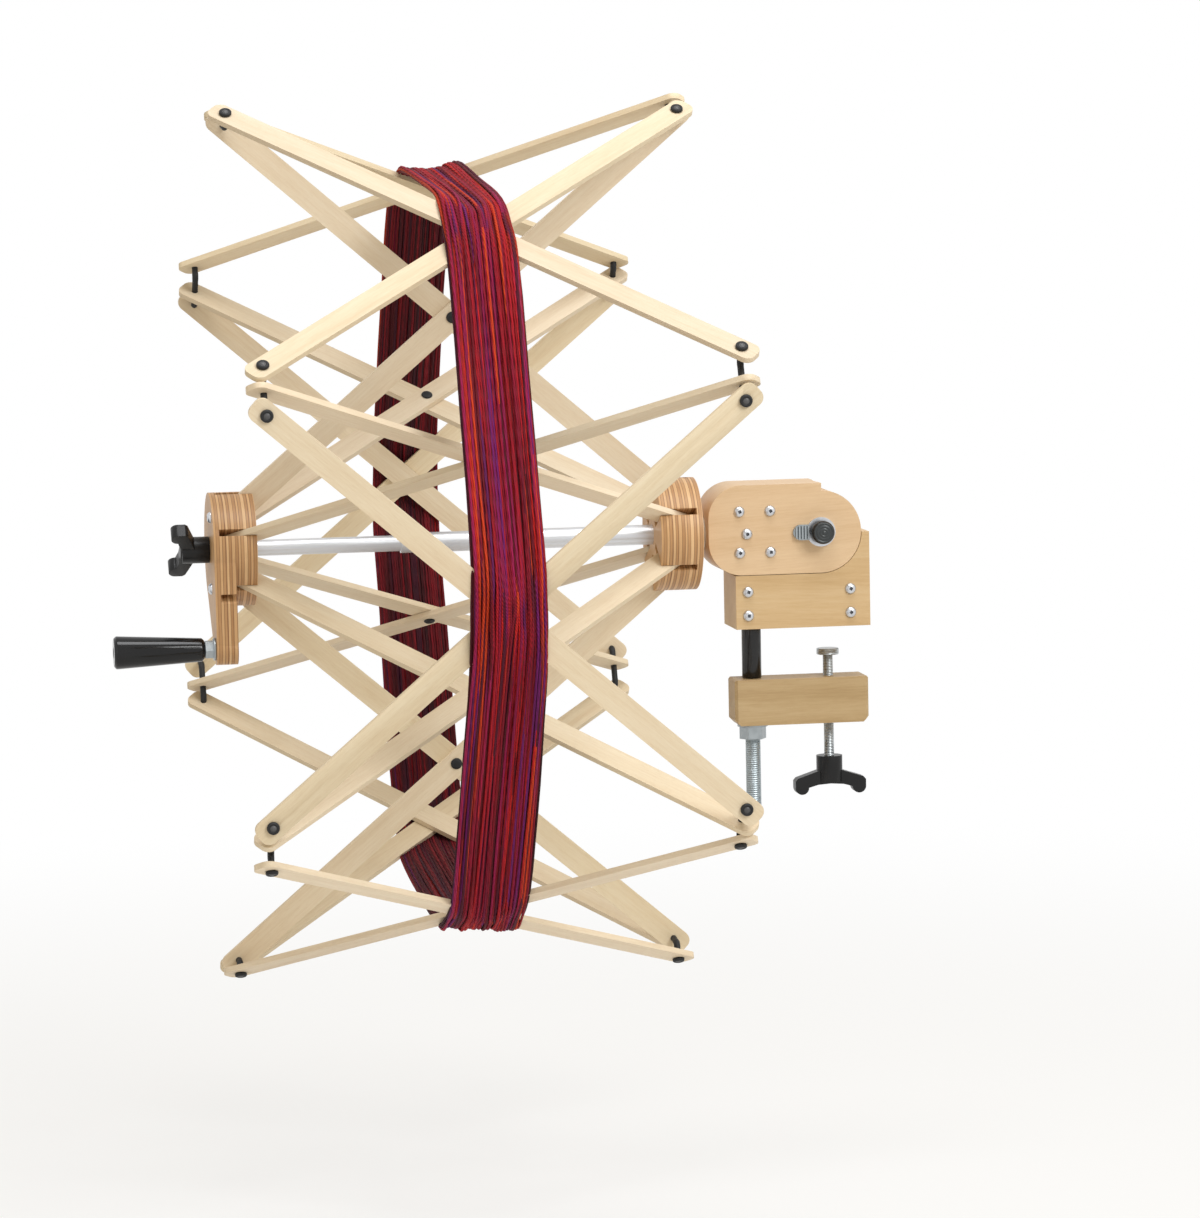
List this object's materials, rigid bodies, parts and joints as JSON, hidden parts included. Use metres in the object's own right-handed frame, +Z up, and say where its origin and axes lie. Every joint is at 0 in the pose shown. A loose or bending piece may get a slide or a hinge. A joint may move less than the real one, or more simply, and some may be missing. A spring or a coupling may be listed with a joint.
{
  "type": "umbrella swift",
  "caption": "Folding umbrella swift of crossed wooden slats on a crank-turned tube, with a tilting head and a table clamp, carrying a skein of yarn.",
  "frame": {"origin": "middle of the base's underside, the seat that rests on the table edge", "axes": "+Z up from the table; the swift's axis runs along X, with the crank towards -X"},
  "size_m": [0.6066, 0.6529, 0.7024],
  "materials": {
    "slat_wood": "fine sanded, clear matt lacquer",
    "rubber": "matt",
    "maple": "satin oil",
    "jaw_wood": "satin oil",
    "plywood": "satin oil, layers seen on the edge",
    "aluminium": "satin",
    "black_plastic": "fine grained",
    "nylon": "smooth",
    "yarn": "variegated crimson, magenta, purple and orange wool",
    "zinc": "zinc plated"
  },
  "bodies": {
    "base": {"base_block": "maple", "base_screws": "zinc", "clamp_rod": "zinc", "rod_sleeve": "rubber"},
    "head": {"head_block": "maple", "head_screws": "zinc", "axle_bushes": "nylon", "pivot_bolt": "zinc"},
    "pivot_knob": {"pivot_knob": "black_plastic"},
    "rotor": {"drive_hub": "plywood", "drive_hinge_pins": "zinc", "outer_tube": "aluminium"},
    "crank": {"crank_hub": "plywood", "free_hinge_pins": "zinc", "inner_tube": "aluminium", "lock_drawbar": "zinc", "crank_bolt": "zinc"},
    "lock_knob": {"lock_knob": "black_plastic"},
    "crank_handle": {"crank_handle": "black_plastic"},
    "jaw": {"clamp_jaw": "jaw_wood", "clamp_nut": "zinc"},
    "clamp_screw": {"clamp_screw": "zinc"},
    "clamp_wing_knob": {"clamp_wing_knob": "black_plastic"},
    "yarn_skein": {"yarn_skein": "yarn"},
    "drive_spoke_1": {"drive_spoke_1": "slat_wood"},
    "drive_spoke_2": {"drive_spoke_2": "slat_wood"},
    "drive_spoke_3": {"drive_spoke_3": "slat_wood"},
    "drive_spoke_4": {"drive_spoke_4": "slat_wood"},
    "drive_spoke_5": {"drive_spoke_5": "slat_wood"},
    "drive_spoke_6": {"drive_spoke_6": "slat_wood"},
    "free_spoke_1": {"free_spoke_1": "slat_wood"},
    "free_spoke_2": {"free_spoke_2": "slat_wood"},
    "free_spoke_3": {"free_spoke_3": "slat_wood"},
    "free_spoke_4": {"free_spoke_4": "slat_wood"},
    "free_spoke_5": {"free_spoke_5": "slat_wood"},
    "free_spoke_6": {"free_spoke_6": "slat_wood"},
    "free_link_1": {"free_link_1": "rubber"},
    "free_link_2": {"free_link_2": "rubber"},
    "free_link_3": {"free_link_3": "rubber"},
    "free_link_4": {"free_link_4": "rubber"},
    "free_link_5": {"free_link_5": "rubber"},
    "free_link_6": {"free_link_6": "rubber"},
    "drive_link_1": {"drive_link_1": "rubber"},
    "drive_link_2": {"drive_link_2": "rubber"},
    "drive_link_3": {"drive_link_3": "rubber"},
    "drive_link_4": {"drive_link_4": "rubber"},
    "drive_link_5": {"drive_link_5": "rubber"},
    "drive_link_6": {"drive_link_6": "rubber"},
    "over_slat_1": {"over_slat_1": "slat_wood"},
    "over_slat_2": {"over_slat_2": "slat_wood"},
    "over_slat_3": {"over_slat_3": "slat_wood"},
    "over_slat_4": {"over_slat_4": "slat_wood"},
    "over_slat_5": {"over_slat_5": "slat_wood"},
    "over_slat_6": {"over_slat_6": "slat_wood"},
    "under_slat_1": {"under_slat_1": "slat_wood"},
    "under_slat_2": {"under_slat_2": "slat_wood"},
    "under_slat_3": {"under_slat_3": "slat_wood"},
    "under_slat_4": {"under_slat_4": "slat_wood"},
    "under_slat_5": {"under_slat_5": "slat_wood"},
    "under_slat_6": {"under_slat_6": "slat_wood"}
  },
  "joints": [
    {"name": "tilt", "type": "hinge", "parent": "base", "child": "head", "pos_m": [0.0151, 0, 0.0765], "axis": [0, 1, 0], "range_deg": [0, 90]},
    {"name": "pivot_knob_turn", "type": "hinge", "parent": "head", "child": "pivot_knob", "pos_m": [0.0151, -0.04, 0.0765], "axis": [0, -1, 0], "range_deg": [-180, 180]},
    {"name": "spin", "type": "hinge", "parent": "head", "child": "rotor", "pos_m": [-0.1002, 0, 0.0765], "axis": [1, 0, 0], "continuous": true},
    {"name": "fold", "type": "hinge", "parent": "rotor", "child": "drive_spoke_1", "pos_m": [-0.1002, -0.00249, 0.10236], "axis": [0, 0.9954, 0.0958], "range_deg": [-34, 0], "deforming": ["yarn_skein"]},
    {"name": "free_spoke_1_turn", "type": "hinge", "parent": "drive_spoke_1", "child": "free_spoke_1", "pos_m": [-0.27756, -0.01727, 0.25583], "axis": [0, 0.9954, 0.0958], "range_deg": [0, 68]},
    {"name": "free_link_1_turn", "type": "hinge", "parent": "drive_spoke_1", "child": "free_link_1", "pos_m": [-0.45491, -0.03204, 0.40929], "axis": [0, 0.9954, 0.0958], "range_deg": [0, 34]},
    {"name": "drive_link_1_turn", "type": "hinge", "parent": "free_spoke_1", "child": "drive_link_1", "pos_m": [-0.1002, -0.03204, 0.40929], "axis": [0, 0.9954, 0.0958], "range_deg": [-34, 0]},
    {"name": "over_slat_1_turn", "type": "hinge", "parent": "free_link_1", "child": "over_slat_1", "pos_m": [-0.45491, -0.04697, 0.40785], "axis": [0, -0.5807, 0.8141], "range_deg": [0, 34]},
    {"name": "under_slat_1_turn", "type": "hinge", "parent": "drive_link_1", "child": "under_slat_1", "pos_m": [-0.1002, -0.04697, 0.40785], "axis": [0, -0.5807, 0.8141], "range_deg": [-34, 0]},
    {"name": "drive_spoke_2_turn", "type": "hinge", "parent": "rotor", "child": "drive_spoke_2", "pos_m": [-0.1002, -0.02364, 0.08727], "axis": [0, 0.4147, 0.91], "range_deg": [-34, 0]},
    {"name": "free_spoke_2_turn", "type": "hinge", "parent": "drive_spoke_2", "child": "free_spoke_2", "pos_m": [-0.27756, -0.16393, 0.15121], "axis": [0, 0.4147, 0.91], "range_deg": [0, 68]},
    {"name": "free_link_2_turn", "type": "hinge", "parent": "drive_spoke_2", "child": "free_link_2", "pos_m": [-0.45491, -0.30423, 0.21514], "axis": [0, 0.4147, 0.91], "range_deg": [0, 34]},
    {"name": "drive_link_2_turn", "type": "hinge", "parent": "free_spoke_2", "child": "drive_link_2", "pos_m": [-0.1002, -0.30423, 0.21514], "axis": [0, 0.4147, 0.91], "range_deg": [-34, 0]},
    {"name": "over_slat_2_turn", "type": "hinge", "parent": "free_link_2", "child": "over_slat_2", "pos_m": [-0.45491, -0.31045, 0.20149], "axis": [0, -0.9954, -0.0958], "range_deg": [0, 34]},
    {"name": "under_slat_2_turn", "type": "hinge", "parent": "drive_link_2", "child": "under_slat_2", "pos_m": [-0.1002, -0.31045, 0.20149], "axis": [0, -0.9954, -0.0958], "range_deg": [-34, 0]},
    {"name": "drive_spoke_3_turn", "type": "hinge", "parent": "rotor", "child": "drive_spoke_3", "pos_m": [-0.1002, -0.02115, 0.06141], "axis": [0, -0.5807, 0.8141], "range_deg": [-34, 0]},
    {"name": "free_spoke_3_turn", "type": "hinge", "parent": "drive_spoke_3", "child": "free_spoke_3", "pos_m": [-0.27756, -0.14667, -0.02812], "axis": [0, -0.5807, 0.8141], "range_deg": [0, 68]},
    {"name": "free_link_3_turn", "type": "hinge", "parent": "drive_spoke_3", "child": "free_link_3", "pos_m": [-0.45491, -0.27218, -0.11765], "axis": [0, -0.5807, 0.8141], "range_deg": [0, 34]},
    {"name": "drive_link_3_turn", "type": "hinge", "parent": "free_spoke_3", "child": "drive_link_3", "pos_m": [-0.1002, -0.27218, -0.11765], "axis": [0, -0.5807, 0.8141], "range_deg": [-34, 0]},
    {"name": "over_slat_3_turn", "type": "hinge", "parent": "free_link_3", "child": "over_slat_3", "pos_m": [-0.45491, -0.26347, -0.12986], "axis": [0, -0.4147, -0.91], "range_deg": [0, 34]},
    {"name": "under_slat_3_turn", "type": "hinge", "parent": "drive_link_3", "child": "under_slat_3", "pos_m": [-0.1002, -0.26347, -0.12986], "axis": [0, -0.4147, -0.91], "range_deg": [-34, 0]},
    {"name": "drive_spoke_4_turn", "type": "hinge", "parent": "rotor", "child": "drive_spoke_4", "pos_m": [-0.1002, 0.00249, 0.05064], "axis": [0, -0.9954, -0.0958], "range_deg": [-34, 0]},
    {"name": "free_spoke_4_turn", "type": "hinge", "parent": "drive_spoke_4", "child": "free_spoke_4", "pos_m": [-0.27756, 0.01727, -0.10283], "axis": [0, -0.9954, -0.0958], "range_deg": [0, 68]},
    {"name": "free_link_4_turn", "type": "hinge", "parent": "drive_spoke_4", "child": "free_link_4", "pos_m": [-0.45491, 0.03204, -0.25629], "axis": [0, -0.9954, -0.0958], "range_deg": [0, 34]},
    {"name": "drive_link_4_turn", "type": "hinge", "parent": "free_spoke_4", "child": "drive_link_4", "pos_m": [-0.1002, 0.03204, -0.25629], "axis": [0, -0.9954, -0.0958], "range_deg": [-34, 0]},
    {"name": "over_slat_4_turn", "type": "hinge", "parent": "free_link_4", "child": "over_slat_4", "pos_m": [-0.45491, 0.04697, -0.25485], "axis": [0, 0.5807, -0.8141], "range_deg": [0, 34]},
    {"name": "under_slat_4_turn", "type": "hinge", "parent": "drive_link_4", "child": "under_slat_4", "pos_m": [-0.1002, 0.04697, -0.25485], "axis": [0, 0.5807, -0.8141], "range_deg": [-34, 0]},
    {"name": "drive_spoke_5_turn", "type": "hinge", "parent": "rotor", "child": "drive_spoke_5", "pos_m": [-0.1002, 0.02364, 0.06573], "axis": [0, -0.4147, -0.91], "range_deg": [-34, 0]},
    {"name": "free_spoke_5_turn", "type": "hinge", "parent": "drive_spoke_5", "child": "free_spoke_5", "pos_m": [-0.27756, 0.16393, 0.00179], "axis": [0, -0.4147, -0.91], "range_deg": [0, 68]},
    {"name": "free_link_5_turn", "type": "hinge", "parent": "drive_spoke_5", "child": "free_link_5", "pos_m": [-0.45491, 0.30423, -0.06214], "axis": [0, -0.4147, -0.91], "range_deg": [0, 34]},
    {"name": "drive_link_5_turn", "type": "hinge", "parent": "free_spoke_5", "child": "drive_link_5", "pos_m": [-0.1002, 0.30423, -0.06214], "axis": [0, -0.4147, -0.91], "range_deg": [-34, 0]},
    {"name": "over_slat_5_turn", "type": "hinge", "parent": "free_link_5", "child": "over_slat_5", "pos_m": [-0.45491, 0.31045, -0.04849], "axis": [0, 0.9954, 0.0958], "range_deg": [0, 34]},
    {"name": "under_slat_5_turn", "type": "hinge", "parent": "drive_link_5", "child": "under_slat_5", "pos_m": [-0.1002, 0.31045, -0.04849], "axis": [0, 0.9954, 0.0958], "range_deg": [-34, 0]},
    {"name": "drive_spoke_6_turn", "type": "hinge", "parent": "rotor", "child": "drive_spoke_6", "pos_m": [-0.1002, 0.02115, 0.09159], "axis": [0, 0.5807, -0.8141], "range_deg": [-34, 0]},
    {"name": "free_spoke_6_turn", "type": "hinge", "parent": "drive_spoke_6", "child": "free_spoke_6", "pos_m": [-0.27756, 0.14667, 0.18112], "axis": [0, 0.5807, -0.8141], "range_deg": [0, 68]},
    {"name": "free_link_6_turn", "type": "hinge", "parent": "drive_spoke_6", "child": "free_link_6", "pos_m": [-0.45491, 0.27218, 0.27065], "axis": [0, 0.5807, -0.8141], "range_deg": [0, 34]},
    {"name": "drive_link_6_turn", "type": "hinge", "parent": "free_spoke_6", "child": "drive_link_6", "pos_m": [-0.1002, 0.27218, 0.27065], "axis": [0, 0.5807, -0.8141], "range_deg": [-34, 0]},
    {"name": "over_slat_6_turn", "type": "hinge", "parent": "free_link_6", "child": "over_slat_6", "pos_m": [-0.45491, 0.26347, 0.28286], "axis": [0, 0.4147, 0.91], "range_deg": [0, 34]},
    {"name": "under_slat_6_turn", "type": "hinge", "parent": "drive_link_6", "child": "under_slat_6", "pos_m": [-0.1002, 0.26347, 0.28286], "axis": [0, 0.4147, 0.91], "range_deg": [-34, 0]},
    {"name": "crank_hub_turn", "type": "hinge", "parent": "free_spoke_1", "child": "crank", "pos_m": [-0.45491, -0.00249, 0.10236], "axis": [0, 0.9954, 0.0958], "range_deg": [-34, 0]},
    {"name": "lock_knob_turn", "type": "hinge", "parent": "crank", "child": "lock_knob", "pos_m": [-0.48191, 0, 0.0765], "axis": [-1, 0, 0], "range_deg": [-180, 180]},
    {"name": "handle_spin", "type": "hinge", "parent": "crank", "child": "crank_handle", "pos_m": [-0.50191, -0.03442, 0.00097], "axis": [1, 0, 0], "continuous": true},
    {"name": "skein_drop", "type": "slide", "parent": "rotor", "child": "yarn_skein", "axis": [0.2965, 0, 0.955], "range_m": [-0.189, 0]},
    {"name": "jaw_slide", "type": "slide", "parent": "base", "child": "jaw", "axis": [0, 0, 1], "range_m": [-0.045, 0]},
    {"name": "clamp_travel", "type": "slide", "parent": "jaw", "child": "clamp_screw", "axis": [0, 0, 1], "range_m": [-0.015, 0.0187]},
    {"name": "clamp_turn", "type": "hinge", "parent": "clamp_screw", "child": "clamp_wing_knob", "pos_m": [0.0246, 0, -0.115], "axis": [0, 0, 1], "range_deg": [-4321, 5387]}
  ],
  "couplings": [
    {"joint": "free_spoke_1_turn", "follows": "fold", "ratio": -2},
    {"joint": "free_link_1_turn", "follows": "fold", "ratio": -1},
    {"joint": "drive_link_1_turn", "follows": "fold", "ratio": 1},
    {"joint": "over_slat_1_turn", "follows": "fold", "ratio": -1},
    {"joint": "under_slat_1_turn", "follows": "fold", "ratio": 1},
    {"joint": "drive_spoke_2_turn", "follows": "fold", "ratio": 1},
    {"joint": "free_spoke_2_turn", "follows": "fold", "ratio": -2},
    {"joint": "free_link_2_turn", "follows": "fold", "ratio": -1},
    {"joint": "drive_link_2_turn", "follows": "fold", "ratio": 1},
    {"joint": "over_slat_2_turn", "follows": "fold", "ratio": -1},
    {"joint": "under_slat_2_turn", "follows": "fold", "ratio": 1},
    {"joint": "drive_spoke_3_turn", "follows": "fold", "ratio": 1},
    {"joint": "free_spoke_3_turn", "follows": "fold", "ratio": -2},
    {"joint": "free_link_3_turn", "follows": "fold", "ratio": -1},
    {"joint": "drive_link_3_turn", "follows": "fold", "ratio": 1},
    {"joint": "over_slat_3_turn", "follows": "fold", "ratio": -1},
    {"joint": "under_slat_3_turn", "follows": "fold", "ratio": 1},
    {"joint": "drive_spoke_4_turn", "follows": "fold", "ratio": 1},
    {"joint": "free_spoke_4_turn", "follows": "fold", "ratio": -2},
    {"joint": "free_link_4_turn", "follows": "fold", "ratio": -1},
    {"joint": "drive_link_4_turn", "follows": "fold", "ratio": 1},
    {"joint": "over_slat_4_turn", "follows": "fold", "ratio": -1},
    {"joint": "under_slat_4_turn", "follows": "fold", "ratio": 1},
    {"joint": "drive_spoke_5_turn", "follows": "fold", "ratio": 1},
    {"joint": "free_spoke_5_turn", "follows": "fold", "ratio": -2},
    {"joint": "free_link_5_turn", "follows": "fold", "ratio": -1},
    {"joint": "drive_link_5_turn", "follows": "fold", "ratio": 1},
    {"joint": "over_slat_5_turn", "follows": "fold", "ratio": -1},
    {"joint": "under_slat_5_turn", "follows": "fold", "ratio": 1},
    {"joint": "drive_spoke_6_turn", "follows": "fold", "ratio": 1},
    {"joint": "free_spoke_6_turn", "follows": "fold", "ratio": -2},
    {"joint": "free_link_6_turn", "follows": "fold", "ratio": -1},
    {"joint": "drive_link_6_turn", "follows": "fold", "ratio": 1},
    {"joint": "over_slat_6_turn", "follows": "fold", "ratio": -1},
    {"joint": "under_slat_6_turn", "follows": "fold", "ratio": 1},
    {"joint": "crank_hub_turn", "follows": "fold", "ratio": 1},
    {"joint": "skein_drop", "follows": "fold", "m_per_rad": 0.31762},
    {"joint": "clamp_turn", "follows": "clamp_travel", "rad_per_m": 5026.5}
  ]
}
